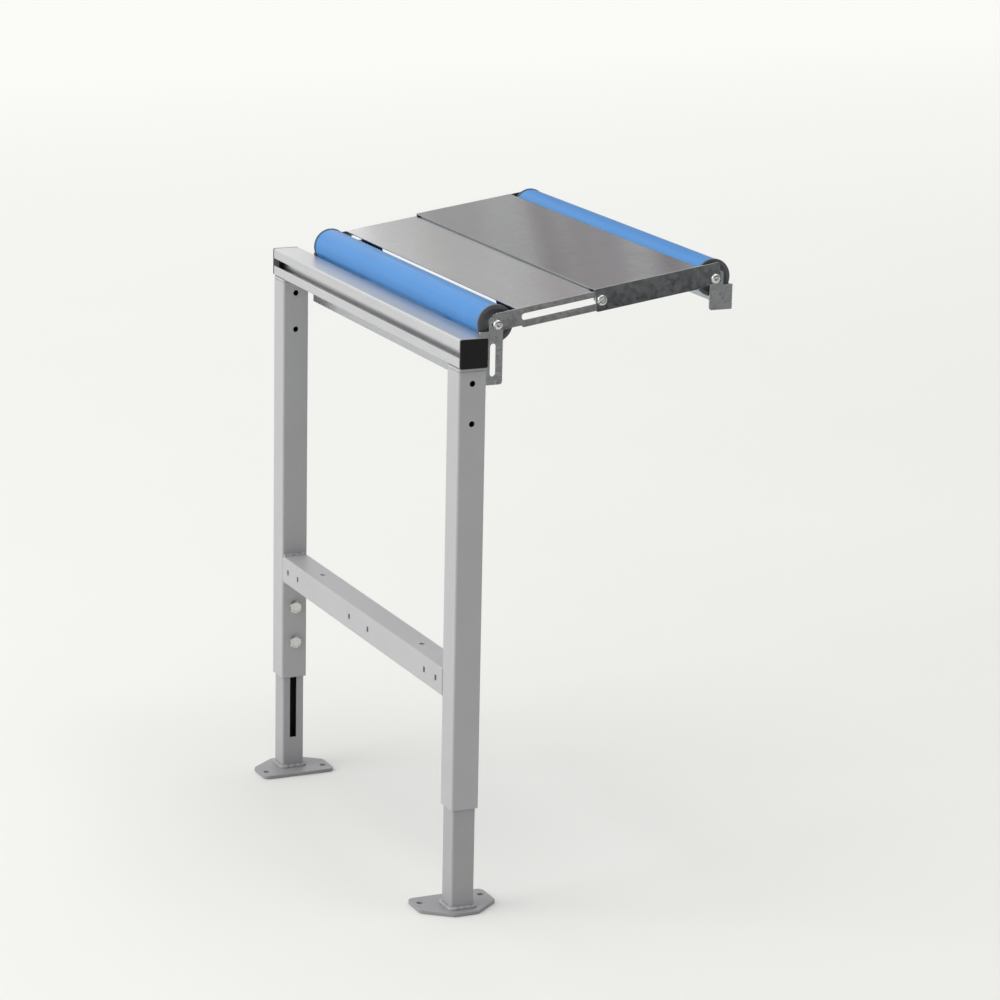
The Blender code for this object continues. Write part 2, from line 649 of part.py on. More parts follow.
def make_roller(label, bracket_inner, parent):
    """An idler roller on a fixed axle: plastic tube, a housing in each end and a ball bearing in each."""
    half = bracket_inner - ROLLER_END_PLAY
    bore = ROLLER_RADIUS - ROLLER_WALL
    tube = [(ROLLER_RADIUS, half), (ROLLER_RADIUS, -half), (bore, -half), (bore, half)]
    turned(f"{label}_roller_tube", tube, "+Y", (0, 0, 0), blue, FINE_ROUND, True, parent)
    axle_half = bracket_inner - GAP
    axle_profile = [(0, axle_half), (AXLE_RADIUS, axle_half), (AXLE_RADIUS, -axle_half), (0, -axle_half)]
    axle = turned(f"{label}_axle", axle_profile, "+Y", (0, 0, 0), steel, SMALL_ROUND + 4, parent=parent)
    for side, sign in SIDES:
        end = (0, sign * half, 0)
        hub_bore = AXLE_RADIUS + 4 * GAP
        seat = BEARING_RADIUS + GAP
        rim_inner = rim_radius - HOUSING_RIM_WIDTH
        housing = [
            (rim_radius - 0.6 * MM, RIM_DEPTH), (rim_radius, RIM_DEPTH - 0.6 * MM), (rim_radius, GAP),
            (bore - GAP, GAP), (bore - GAP, -HOUSING_DEPTH), (seat, -HOUSING_DEPTH), (seat, -HOUSING_WEB),
            (hub_bore, -HOUSING_WEB), (hub_bore, HOUSING_HUB_RISE), (HOUSING_HUB - 1 * MM, HOUSING_HUB_RISE),
            (HOUSING_HUB, RIM_DEPTH), (HOUSING_HUB + 1 * MM, RIM_DEPTH - HOUSING_RECESS),
            (rim_inner - 1 * MM, RIM_DEPTH - HOUSING_RECESS), (rim_inner, RIM_DEPTH),
        ]
        along = outward(sign)
        turned(f"{label}_roller_end_{side}", housing, along, end, grey, ROUND, True, parent)
        top = -HOUSING_WEB - GAP
        low = top - BEARING_WIDTH
        inner = AXLE_RADIUS + GAP
        ring = [(BEARING_RADIUS, top), (BEARING_RADIUS, low), (inner, low), (inner, top)]
        turned(f"{label}_bearing_{side}", ring, along, end, steel, ROUND - 16, True, parent)
        tip = (0, sign * axle_half, 0)
        depth = -AXLE_THREAD_DEPTH
        thread = rod(f"{label}_thread_{side}", screw_hole, depth, 1 * MM, along, tip, steel, parent)
        cut(axle, thread)


def arm(name, corners, holes, inner, sign, parent):
    """One side arm of a deck sheet, a flat outline in the plane across the rollers."""
    middle = (0, sign * (inner + SHEET / 2), 0)
    return plate(name, [rounded(corners), *holes], SHEET, "XZ", middle, galvanised, parent)


def make_lower_deck(parent):
    """The fixed-end sheet: its side arms turn on the lower axle screws and carry the long lock slots."""
    half = lower_arm_outer
    low = (lower_start, -half, LOWER_TOP - SHEET)
    high = (LOWER_END, half, LOWER_TOP)
    sheet = block("lower_deck_sheet", low, high, galvanised, parent)
    step = LOWER_ARM_DEPTH - LOWER_ARM_NOSE_DEPTH
    corners = [
        (-LOWER_ARM_NOSE, -LOWER_ARM_NOSE_DEPTH, ARM_CORNER),
        (LOWER_ARM_STEP, -LOWER_ARM_NOSE_DEPTH, 0),
        (LOWER_ARM_STEP + step, -LOWER_ARM_DEPTH, 0),
        (LOWER_END, -LOWER_ARM_DEPTH, ARM_CORNER),
        (LOWER_END, LOWER_TOP, 0),
        (-LOWER_ARM_NOSE, LOWER_TOP, ARM_CORNER),
    ]
    slot_low = SLOT_RISE - SLOT_HEIGHT / 2
    slot_end = LOWER_END - SLOT_END_MARGIN
    slot = rectangle((SLOT_START, slot_low), (slot_end, slot_low + SLOT_HEIGHT), SLOT_HEIGHT / 2 * 0.999)
    for side, sign in SIDES:
        holes = [circle((0, 0), screw_hole), slot]
        add(sheet, arm(f"lower_arm_{side}", corners, holes, lower_arm_inner, sign, parent))
        lug_y = sorted((sign * LUG_INNER, sign * LUG_OUTER))
        lug_low = (lug_at, lug_y[0], LUG_FOOT)
        lug_high = (lug_at + SHEET, lug_y[1], LOWER_TOP - SHEET / 2)
        add(sheet, block(f"lower_lug_{side}", lug_low, lug_high, galvanised, parent))


def make_upper_deck(parent):
    """The sliding sheet. It lies over the lower one, outside its arms, and carries the upper roller."""
    half = upper_arm_outer
    start = UPPER_START - AXLE_PITCH
    top = upper_top + UPPER_AXLE_DROP
    low = (start, -half, top - SHEET)
    high = (-upper_edge_back, half, top)
    sheet = block("upper_deck_sheet", low, high, galvanised, parent)
    taper_start, taper_end = UPPER_ARM_TAPER
    corners = [
        (start, -UPPER_ARM_DEPTH, 0),
        (-taper_start, -UPPER_ARM_DEPTH, 0),
        (-taper_end, -UPPER_ARM_NOSE_DEPTH, 0),
        (UPPER_ARM_NOSE, -UPPER_ARM_NOSE_DEPTH, ARM_CORNER),
        (UPPER_ARM_NOSE, top, ARM_CORNER),
        (start, top, 0),
    ]
    lock = LOCK_SCREW_AT - AXLE_PITCH
    for side, sign in SIDES:
        holes = [circle((0, 0), screw_hole), circle((lock, SLOT_RISE + UPPER_AXLE_DROP), screw_hole)]
        add(sheet, arm(f"upper_arm_{side}", corners, holes, upper_arm_inner, sign, parent))
    hem_low = (start, -(half - HEM_INSET), top - SHEET - DECK_STEP + HEM_GAP)
    hem_high = (start + SHEET, half - HEM_INSET, top - SHEET / 2)
    add(sheet, block("upper_hem", hem_low, hem_high, galvanised, parent))


def make_lock_screw(side, sign, parent):
    """A slotted pan-head screw through the upper arm and the lower arm's slot, and its nut inside."""
    place = (LOCK_SCREW_AT - AXLE_PITCH, sign * (upper_arm_outer + GAP), SLOT_RISE + UPPER_AXLE_DROP)
    nut_top = upper_arm_outer + GAP - (lower_arm_inner - GAP)
    reach = nut_top + NUT_HEIGHT + 1 * MM
    dome = arc((0, 0), 1, math.pi / 2, 0, 4)
    flat = PAN_RADIUS * 0.6
    profile = [(0, PAN_HEIGHT)]
    profile += [(flat + (PAN_RADIUS - flat) * x, PAN_HEIGHT * (0.3 + 0.7 * y)) for x, y in dome]
    profile += [(PAN_RADIUS, 0), (M8, 0), (M8, -reach), (0, -reach)]
    along = outward(sign)
    screw = turned(f"lock_screw_{side}", profile, along, place, zinc, SMALL_ROUND + 4, parent=parent)
    width, depth = PAN_SLOT
    outline = rectangle((-2 * PAN_RADIUS, -width / 2), (2 * PAN_RADIUS, width / 2))
    centre = (place[0], place[1] + sign * PAN_HEIGHT, place[2])
    slot = plate(f"lock_slot_{side}", [outline], 2 * depth, "XZ", centre, zinc, parent)
    slot.rotation_euler = (math.pi / 2, -PAN_SLOT_ANGLE, 0)
    cut(screw, slot)
    nut_low = -nut_top - NUT_HEIGHT
    nut = prism(f"lock_nut_{side}", NUT_FLATS, nut_low, -nut_top, along, place, zinc, parent=parent)
    cut(nut, rod(f"lock_nut_hole_{side}", screw_hole, -2 * reach, reach, along, place, zinc, parent))


for old in list(bpy.data.objects):
    bpy.data.objects.remove(old)
parts = collection("roller_transfer_deck")
cutters = collection("cutters")
coat = finish("grey_powder_coat", (0.47, 0.47, 0.49), 0.45, 0.0)
aluminium = finish("anodised_aluminium", (0.60, 0.60, 0.62), 0.35, 0.9)
black = finish("black_plastic", (0.01, 0.01, 0.01), 0.5, 0.0)
galvanised = finish("galvanised_sheet", (0.32, 0.34, 0.35), 0.35, 0.9)
zinc = finish("zinc_plated_steel", (0.55, 0.55, 0.55), 0.25, 1.0)
steel = finish("bright_steel", (0.5, 0.5, 0.5), 0.3, 1.0)
blue = finish("blue_pvc_tube", (0.08, 0.30, 0.75), 0.35, 0.0)
grey = finish("dark_grey_plastic", (0.05, 0.05, 0.055), 0.5, 0.0)

lower_axis = empty("lower_axis", (axle_x, DECK_SHIFT, axle_z), -DECK_ANGLE)
upper_axis = empty("upper_axis", (AXLE_PITCH, 0, -UPPER_AXLE_DROP), 0, lower_axis)
bench_axis = empty("bench_axis", (0, 0, 0), DECK_ANGLE, upper_axis)

for side_name, side_sign in SIDES:
    make_foot(side_name, side_sign)
    make_inner_leg(side_name, side_sign)
    make_outer_leg(side_name, side_sign)
    make_clamp(side_name, side_sign)
    make_beam_screws(side_name, side_sign)
make_crossbar()
make_beam()
make_stand_cradle()
make_bench_cradle(bench_axis)
make_lower_deck(lower_axis)
make_upper_deck(upper_axis)
make_roller("lower", CRADLE_HALF_LENGTH - CRADLE_THICKNESS, lower_axis)
make_roller("upper", bench_cradle_half - CRADLE_THICKNESS, upper_axis)
for side_name, side_sign in SIDES:
    bite = AXLE_SCREW_BITE + lower_arm_outer - CRADLE_HALF_LENGTH + CRADLE_THICKNESS
    lower_head = (0, side_sign * (lower_arm_outer + GAP), 0)
    make_button_screw(f"lower_axle_screw_{side_name}", bite, outward(side_sign), lower_head, lower_axis)
    bite = AXLE_SCREW_BITE + upper_arm_outer - bench_cradle_half + CRADLE_THICKNESS
    upper_head = (0, side_sign * (upper_arm_outer + GAP), 0)
    make_button_screw(f"upper_axle_screw_{side_name}", bite, outward(side_sign), upper_head, upper_axis)
    make_lock_screw(side_name, side_sign, upper_axis)
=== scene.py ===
import json
import math

import bmesh
import bpy
from mathutils import Matrix, Vector


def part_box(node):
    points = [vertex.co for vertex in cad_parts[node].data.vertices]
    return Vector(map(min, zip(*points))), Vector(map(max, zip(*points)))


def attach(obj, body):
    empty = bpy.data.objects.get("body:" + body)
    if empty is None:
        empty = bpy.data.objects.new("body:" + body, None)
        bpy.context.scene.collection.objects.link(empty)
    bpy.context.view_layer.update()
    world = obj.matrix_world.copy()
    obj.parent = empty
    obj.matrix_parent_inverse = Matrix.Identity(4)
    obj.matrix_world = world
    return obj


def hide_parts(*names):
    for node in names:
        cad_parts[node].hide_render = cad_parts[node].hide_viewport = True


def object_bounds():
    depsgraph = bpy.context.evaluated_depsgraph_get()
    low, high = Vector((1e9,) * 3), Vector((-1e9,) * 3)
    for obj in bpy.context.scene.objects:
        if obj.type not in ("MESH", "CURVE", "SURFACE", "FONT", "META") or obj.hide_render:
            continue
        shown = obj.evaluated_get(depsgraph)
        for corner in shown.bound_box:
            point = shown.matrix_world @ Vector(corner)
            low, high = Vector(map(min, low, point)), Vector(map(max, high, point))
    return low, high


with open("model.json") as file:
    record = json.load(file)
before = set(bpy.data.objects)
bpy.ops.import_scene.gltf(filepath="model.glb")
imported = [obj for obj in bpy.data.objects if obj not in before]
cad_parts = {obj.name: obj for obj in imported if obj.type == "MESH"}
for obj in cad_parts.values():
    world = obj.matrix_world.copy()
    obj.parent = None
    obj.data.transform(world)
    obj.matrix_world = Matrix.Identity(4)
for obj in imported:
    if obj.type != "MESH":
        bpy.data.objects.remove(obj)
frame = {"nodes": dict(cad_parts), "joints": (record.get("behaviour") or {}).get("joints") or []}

cad_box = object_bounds()

# Foot plates. Two flame-cut 5 mm steel plates, one under each leg, with two anchor holes each and their
# edges broken by hand before coating. Light grey powder coat covers them and all the welded steel above.
mm = 0.001


def linear(code):
    """A #RRGGBB colour as the linear red, green, blue and alpha that a shader takes."""
    shares = [int(code[i:i + 2], 16) / 255 for i in (1, 3, 5)]
    return (*[s / 12.92 if s <= 0.04045 else ((s + 0.055) / 1.055) ** 2.4 for s in shares], 1)


def node(tree, kind, inputs=None, **settings):
    made = tree.nodes.new("ShaderNode" + kind)
    for key, value in settings.items():
        setattr(made, key, value)
    for key, value in (inputs or {}).items():
        if isinstance(value, bpy.types.NodeSocket):
            tree.links.new(value, made.inputs[key])
        else:
            made.inputs[key].default_value = value
    return made


def finish(name, metallic, roughness):
    """An empty surface finish: its material, its node tree, its shader and the piece's own coordinates."""
    made = bpy.data.materials.new(name)
    made.use_nodes = True
    tree = made.node_tree
    shader = tree.nodes["Principled BSDF"]
    shader.inputs["Metallic"].default_value = metallic
    shader.inputs["Roughness"].default_value = roughness
    return made, tree, shader, node(tree, "TexCoord").outputs["Object"]


def powder_coat(name, shade, rubbed, roughness):
    """Baked polyester powder: satin, a little uneven in tone, with a fine orange-peel skin."""
    made, tree, shader, place = finish(name, 0, roughness)
    cloud = node(tree, "TexNoise", {"Vector": place, "Scale": 1 / (70 * mm), "Detail": 4})
    grain = node(tree, "TexNoise", {"Vector": place, "Scale": 1 / (0.9 * mm), "Detail": 2})
    tone = node(tree, "Mix", {0: cloud.outputs["Fac"], 6: linear(shade), 7: linear(rubbed)}, data_type="RGBA")
    speck = node(tree, "MapRange", {"Value": grain.outputs["Fac"], 1: 0.35, 2: 0.65, 3: 0.965, 4: 1.03})
    layers = {0: 1.0, 6: tone.outputs[2], 7: speck.outputs[0]}
    coat = node(tree, "Mix", layers, data_type="RGBA", blend_type="MULTIPLY")
    tree.links.new(coat.outputs[2], shader.inputs["Base Color"])
    gloss = node(tree, "MapRange", {"Value": cloud.outputs["Fac"], 3: roughness - 0.05, 4: roughness + 0.06})
    tree.links.new(gloss.outputs[0], shader.inputs["Roughness"])
    # Orange peel is about 1 mm across, drawn at 2 mm so that it still shows
    peel = node(tree, "TexNoise", {"Vector": place, "Scale": 1 / (2 * mm), "Detail": 1})
    skin = node(tree, "Bump", {"Height": peel.outputs["Fac"], "Strength": 0.35, "Distance": 0.05 * mm})
    tree.links.new(skin.outputs["Normal"], shader.inputs["Normal"])
    return made


def eased(name, source, radius, segments=2, folds=()):
    """A copy of a raw shape with its sharp edges broken to a radius.

    folds holds (test, radius) pairs, one for each set of bend lines.
    """
    work = bmesh.new()
    work.from_mesh(frame["nodes"][source].data)
    bmesh.ops.remove_doubles(work, verts=work.verts, dist=0.002 * mm)
    bmesh.ops.dissolve_limit(work, angle_limit=math.radians(1), verts=work.verts, edges=work.edges)
    round_edge = {"profile": 0.5, "affect": "EDGES"}
    for test, bend in folds:
        picked = [e for e in work.edges if test(*[v.co for v in e.verts])]
        bmesh.ops.bevel(work, geom=picked, offset=bend, segments=5, clamp_overlap=True, **round_edge)
    sharp = [e for e in work.edges if len(e.link_faces) == 2 and e.calc_face_angle() > math.radians(38)]
    bmesh.ops.bevel(work, geom=sharp, offset=radius, segments=segments, clamp_overlap=False, **round_edge)
    return shown(name, work)


def shown(name, work, smooth=40):
    """A new piece from a finished bmesh, smooth apart from its true edges."""
    mesh = bpy.data.meshes.new(name)
    work.to_mesh(mesh)
    work.free()
    mesh.shade_smooth()
    mesh.set_sharp_from_angle(angle=math.radians(smooth))
    piece = bpy.data.objects.new(name, mesh)
    bpy.context.scene.collection.objects.link(piece)
    flat = piece.modifiers.new("Weighted normals", "WEIGHTED_NORMAL")
    flat.keep_sharp = True
    return piece


def fitted(piece, coating, body, slot, *stands_for):
    piece.data.materials.clear()
    piece.data.materials.append(coating)
    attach(piece, body)
    if stands_for:
        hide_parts(*stands_for)
    return piece


# The feet take a darker copy of the grey coat: painted shade for the dim light at floor level
foot_painted_shade_coat = powder_coat("grey_powder_coat_painted_shade", "#89898C", "#959598", 0.46)
for side in ("front", "rear"):
    foot = eased(f"{side}_foot_steel", f"foot_plate_{side}", 0.7 * mm, 3)
    fitted(foot, foot_painted_shade_coat, "feet", "powder_coat", f"foot_plate_{side}")


# Inner legs. 34 mm square tube, MIG welded all round to the foot plate before coating; the bead keeps the
# ripple of the weld pool under the paint. A long slot in the inner face lets the clamp bolts travel.
def weld_bead(name, path, thickness, ripple=2.4 * mm, closed=True):
    """A bead along (point, outward) pairs: a rippled half-round seam."""
    work = bmesh.new()
    rings = []
    run = 0.0
    around = 10
    for i, (point, out, along) in enumerate(path):
        if i:
            run += (point - path[i - 1][0]).length
        swell = 1 + 0.12 * math.sin(math.tau * run / ripple)
        swell += 0.12 * math.sin(math.tau * run / (ripple * 4.3) + 0.8)
        across = out.cross(along).normalized()
        size = thickness * swell
        rings.append([
            work.verts.new(point + size * (math.cos(t) * out + math.sin(t) * across))
            for t in [math.tau * k / around for k in range(around)]
        ])
    pairs = list(zip(rings, rings[1:]))
    if closed:
        pairs.append((rings[-1], rings[0]))
    for low, high in pairs:
        for k in range(around):
            work.faces.new((low[k], low[(k + 1) % around], high[(k + 1) % around], high[k]))
    if not closed:
        work.faces.new(rings[0][::-1])
        work.faces.new(rings[-1])
    bmesh.ops.recalc_face_normals(work, faces=work.faces)
    return shown(name, work, 60)


def square_path(centre, half, corner, height, step=0.55 * mm):
    """Points round a square tube, with the outward direction and the way along at each."""
    path = []
    for quarter in range(4):
        turn = Matrix.Rotation(math.radians(90 * quarter), 3, "Z")
        flat = half - corner
        count = int(2 * flat / step)
        for i in range(count):
            path.append((turn @ Vector((half, -flat + 2 * flat * i / count, 0)), turn @ Vector((1, 0, 0))))
        for i in range(6):
            angle = math.radians(15 * i)
            out = Vector((math.cos(angle), math.sin(angle), 0))
            path.append((turn @ (Vector((flat, flat, 0)) + corner * out), turn @ out))
    lifted = []
    for point, out in path:
        tilt = (out + Vector((0, 0, 1))).normalized()
        lifted.append((centre + point + Vector((0, 0, height)), tilt, Vector((0, 0, 1)).cross(out)))
    return lifted


def lined(piece, lining, source, wall, along):
    """Gives the inside of a tube that runs along an axis (0, 1 or 2) a lining of its own."""
    low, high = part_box(source)
    piece.data.materials.append(lining)
    across = [k for k in range(3) if k != along]
    for face in piece.data.polygons:
        if all(low[k] + wall - 0.1 * mm < face.center[k] < high[k] - wall + 0.1 * mm for k in across):
            face.material_index = 1


stand_coat = powder_coat("light_grey_powder_coat", "#A6A6A9", "#AFAFB1", 0.42)
# The inner legs and their foot welds are coated a shade darker than the outer legs
leg_coat = powder_coat("darker_grey_powder_coat", "#99999C", "#A4A4A7", 0.44)
tube_wall = 2.5 * mm
# The powder doesn't reach far into a tube, so its inside is dark mill scale with a little overspray
tube_scale = powder_coat("mill_scale_inside_tube", "#2A292B", "#363436", 0.7)
for side in ("front", "rear"):
    leg = eased(f"{side}_inner_tube", f"inner_leg_{side}", 0.35 * mm)
    fitted(leg, leg_coat, "feet", "powder_coat", f"inner_leg_{side}")
    lined(leg, tube_scale, f"inner_leg_{side}", tube_wall, 2)
    low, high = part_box(f"inner_leg_{side}")
    half = (high.x - low.x) / 2
    centre = Vector(((low.x + high.x) / 2, (low.y + high.y) / 2, 0))
    floor_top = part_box(f"foot_plate_{side}")[1].z
    seam = square_path(centre, half + 0.8 * mm, 3.6 * mm, floor_top + 0.8 * mm)
    bead = weld_bead(f"{side}_foot_weld", seam, 3.4 * mm)
    fitted(bead, leg_coat, "feet", "powder_coat")

# Outer legs. 40 mm square tube cut square, deburred and coated. Two 8 mm holes go through near the top, and
# a 4 mm plate closes each end under the beam.
for side in ("front", "rear"):
    tube = eased(f"{side}_outer_tube", f"outer_leg_{side}", 0.45 * mm)
    fitted(tube, stand_coat, "stand", "powder_coat", f"outer_leg_{side}")
    lined(tube, tube_scale, f"outer_leg_{side}", tube_wall, 2)
    lid = eased(f"{side}_leg_lid", f"leg_top_plate_{side}", 0.4 * mm)
    fitted(lid, stand_coat, "stand", "powder_coat", f"leg_top_plate_{side}")

# Crossbar. The same 40 mm tube between the legs, punched with small slots and two round holes, and welded
# to each leg with a bead on its top and underside; the beads on its flush faces are ground low.
bar = eased("crossbar_tube", "crossbar", 0.45 * mm)
fitted(bar, stand_coat, "stand", "powder_coat", "crossbar")
lined(bar, tube_scale, "crossbar", tube_wall, 1)
low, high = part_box("crossbar")
weld_inset = 2.5 * mm
for side, sign in (("front", -1), ("rear", 1)):
    y = low.y if sign < 0 else high.y
    for face, z, out in (("top", high.z, 1), ("under", low.z, -1)):
        path = []
        for i in range(66):
            x = low.x + weld_inset + (high.x - low.x - 2 * weld_inset) * i / 65
            tilt = Vector((0, -sign, out)).normalized()
            path.append((Vector((x, y - sign * 0.2 * mm, z)), tilt, Vector((1, 0, 0))))
        bead = weld_bead(f"{side}_bar_weld_{face}", path, 2.9 * mm, closed=False)
        fitted(bead, stand_coat, "stand", "powder_coat")
    for face, x, out in (("outer", low.x, -1), ("inner", high.x, 1)):
        path = []
        for i in range(58):
            z = low.z + weld_inset + (high.z - low.z - 2 * weld_inset) * i / 57
            path.append((Vector((x - out * 0.55 * mm, y, z)), Vector((out, 0, 0)), Vector((0, 0, 1))))
        bead = weld_bead(f"{side}_bar_weld_{face}", path, 1.1 * mm, closed=False)
        fitted(bead, stand_coat, "stand", "powder_coat")


# Clamp bolts. M10 hexagon bolts, bright zinc plated, each with a plain washer, that pull the threaded clamp
# plates inside the inner legs against the tube wall.
def spun(name, rings, place, along, steps=48, closed=False, smooth=40):
    """A turned or milled piece, from rings along its axis.

    Each ring is (radius, height), or (half the flats, height, sides) with the corners' radius as an option.
    """
    work = bmesh.new()
    made = []
    for size, height, *sides in rings:
        row = []
        for k in range(steps):
            angle = math.tau * k / steps
            reach = size
            if sides:
                wedge = math.tau / sides[0]
                reach = size / math.cos((angle + wedge / 2) % wedge - wedge / 2)
                if len(sides) > 1:
                    reach = min(reach, sides[1])
            if size:
                row.append(work.verts.new((reach * math.cos(angle), reach * math.sin(angle), height)))
        if not size:
            row = [work.verts.new((0, 0, height))] * steps
        made.append(row)
    pairs = list(zip(made, made[1:]))
    if closed:
        pairs.append((made[-1], made[0]))
    for low, high in pairs:
        for k in range(steps):
            after = (k + 1) % steps
            corners = dict.fromkeys((low[k], low[after], high[after], high[k]))
            work.faces.new(list(corners))
    bmesh.ops.recalc_face_normals(work, faces=work.faces)
    turn = Vector((0, 0, 1)).rotation_difference(Vector(along))
    bmesh.ops.transform(work, matrix=Matrix.Translation(place) @ turn.to_matrix().to_4x4(), verts=work.verts)
    return shown(name, work, smooth)


def zinc_plate(name, shade, cloudy, roughness):
    """Bright zinc: a hard mirror dulled by passivation, in faintly warm and cool patches."""
    made, tree, shader, place = finish(name, 1, roughness)
    patch = node(tree, "TexNoise", {"Vector": place, "Scale": 1 / (3 * mm), "Detail": 3})
    tone = node(tree, "Mix", {0: patch.outputs["Fac"], 6: linear(shade), 7: linear(cloudy)}, data_type="RGBA")
    tree.links.new(tone.outputs[2], shader.inputs["Base Color"])
    dull = node(tree, "MapRange", {"Value": patch.outputs["Fac"], 3: roughness - 0.07, 4: roughness + 0.12})
    tree.links.new(dull.outputs[0], shader.inputs["Roughness"])
    # Turning marks are 0.1 mm apart, drawn at 0.5 mm
    marks = node(tree, "TexNoise", {"Vector": place, "Scale": 1 / (0.5 * mm), "Detail": 1})
    skin = node(tree, "Bump", {"Height": marks.outputs["Fac"], "Strength": 0.15, "Distance": 0.03 * mm})
    tree.links.new(skin.outputs["Normal"], shader.inputs["Normal"])
    return made


bolt_zinc = zinc_plate("bright_zinc_plate", "#DADBDC", "#C6C4BE", 0.17)
for side, sign in (("front", 1), ("rear", -1)):
    for level in ("lower", "upper"):
        source = f"clamp_bolt_{side}_{level}"
        low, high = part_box(source)
        middle = (low + high) / 2
        face = high.y if sign > 0 else low.y
        reach = high.y - low.y
        head = 6.4 * mm
        flats = 8.5 * mm
        start = face - sign * head
        rings = [
            (0, -reach + head), (4.4 * mm, -reach + head), (5 * mm, -reach + head + 0.8 * mm), (5 * mm, 0),
            (9.2 * mm, 0), (9.4 * mm, 0.2 * mm), (9.4 * mm, 0.9 * mm), (9.2 * mm, 1.1 * mm),
            (8.2 * mm, 1.1 * mm), (8.2 * mm, 1.4 * mm), (flats, 1.5 * mm, 6, 9.2 * mm), (flats, 1.9 * mm, 6),
            (flats, head - 1.1 * mm, 6), (flats, head - 0.6 * mm, 6, 9.3 * mm),
            (flats, head - 0.2 * mm, 6, 8.7 * mm), (8 * mm, head),
            (6.6 * mm, head), (6 * mm, head - 0.35 * mm), (0, head - 0.35 * mm),
        ]
        under_head = Vector((middle.x, start, middle.z))
        bolt = spun(source + "_hexagon", rings, under_head, (0, sign, 0), 72, smooth=30)
        fitted(bolt, bolt_zinc, "stand", "zinc_plate", source)


def dressed(source, coating):
    """A raw shape that is right as it stands, given its finish."""
    piece = frame["nodes"][source]
    piece.data.materials.clear()
    piece.data.materials.append(coating)


for side in ("front", "rear"):
    dressed(f"clamp_plate_{side}", bolt_zinc)


# Top beam. Extruded 40 mm aluminium groove profile, natural anodised: die lines run its full length and the
# top is closed. It sits on the leg lids and takes accessories in its side groove.
def anodised_extrusion():
    made, tree, shader, place = finish("natural_anodised_extrusion", 1, 0.36)
    # Die lines a few tenths of a millimetre apart, drawn 1.2 mm apart and 400 mm long
    drawn = node(tree, "Mapping", {"Vector": place, "Scale": (1, 1 / 330, 1)})
    lines = node(tree, "TexNoise", {"Vector": drawn.outputs[0], "Scale": 1 / (1.2 * mm), "Detail": 3})
    cloud = node(tree, "TexNoise", {"Vector": place, "Scale": 1 / (60 * mm), "Detail": 3})
    silver = {0: cloud.outputs["Fac"], 6: linear("#C6C7CA"), 7: linear("#D0D0D2")}
    tone = node(tree, "Mix", silver, data_type="RGBA")
    streak = node(tree, "MapRange", {"Value": lines.outputs["Fac"], 1: 0.3, 2: 0.7, 3: 0.95, 4: 1.03})
    layers = {0: 1.0, 6: tone.outputs[2], 7: streak.outputs[0]}
    shade = node(tree, "Mix", layers, data_type="RGBA", blend_type="MULTIPLY")
    tree.links.new(shade.outputs[2], shader.inputs["Base Color"])
    dull = node(tree, "MapRange", {"Value": lines.outputs["Fac"], 1: 0.3, 2: 0.7, 3: 0.32, 4: 0.42})
    tree.links.new(dull.outputs[0], shader.inputs["Roughness"])
    skin = node(tree, "Bump", {"Height": lines.outputs["Fac"], "Strength": 0.2, "Distance": 0.03 * mm})
    tree.links.new(skin.outputs["Normal"], shader.inputs["Normal"])
    return made


beam = eased("beam_extrusion", "top_beam", 0.3 * mm)
fitted(beam, anodised_extrusion(), "stand", "anodised_aluminium", "top_beam")


# Beam end caps. Black glass-filled polyamide, moulded with a fine spark-eroded grain, pressed into the ends;
# a tongue fills the end of the groove, and a shallow ring shows where the mould's ejector met the face.
def moulded_plastic(name, shade, worn, roughness, shine=0.5):
    made, tree, shader, place = finish(name, 0, roughness)
    cloud = node(tree, "TexNoise", {"Vector": place, "Scale": 1 / (9 * mm), "Detail": 4})
    tone = node(tree, "Mix", {0: cloud.outputs["Fac"], 6: linear(shade), 7: linear(worn)}, data_type="RGBA")
    tree.links.new(tone.outputs[2], shader.inputs["Base Color"])
    dull = node(tree, "MapRange", {"Value": cloud.outputs["Fac"], 3: roughness - 0.06, 4: roughness + 0.08})
    tree.links.new(dull.outputs[0], shader.inputs["Roughness"])
    # Spark grain is 0.2 mm, drawn at 0.8 mm
    grain = node(tree, "TexNoise", {"Vector": place, "Scale": 1 / (0.8 * mm), "Detail": 2})
    skin = node(tree, "Bump", {"Height": grain.outputs["Fac"], "Strength": 0.4, "Distance": 0.05 * mm})
    tree.links.new(skin.outputs["Normal"], shader.inputs["Normal"])
    shader.inputs["Specular IOR Level"].default_value = shine
    return made


cap_black = moulded_plastic("black_polyamide", "#101012", "#18181A", 0.5, 0.25)
for side, sign in (("front", -1), ("rear", 1)):
    source = f"beam_end_cap_{side}"
    cap = eased(f"{side}_beam_cap", source, 0.9 * mm, 3)
    fitted(cap, cap_black, "stand", "black_plastic", source)
    low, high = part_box(source)
    face = Vector(((low.x + high.x) / 2, low.y if sign < 0 else high.y, (low.z + high.z) / 2))
    rings = [
        (11.2 * mm, -0.4 * mm), (11.4 * mm, 0.15 * mm), (11.8 * mm, 0.35 * mm),
        (12.4 * mm, 0.35 * mm), (12.8 * mm, 0.15 * mm), (13 * mm, -0.4 * mm),
    ]
    ring = spun(f"{side}_cap_ring", rings, face, (0, sign, 0), 72, closed=True)
    fitted(ring, cap_black, "stand", "black_plastic")


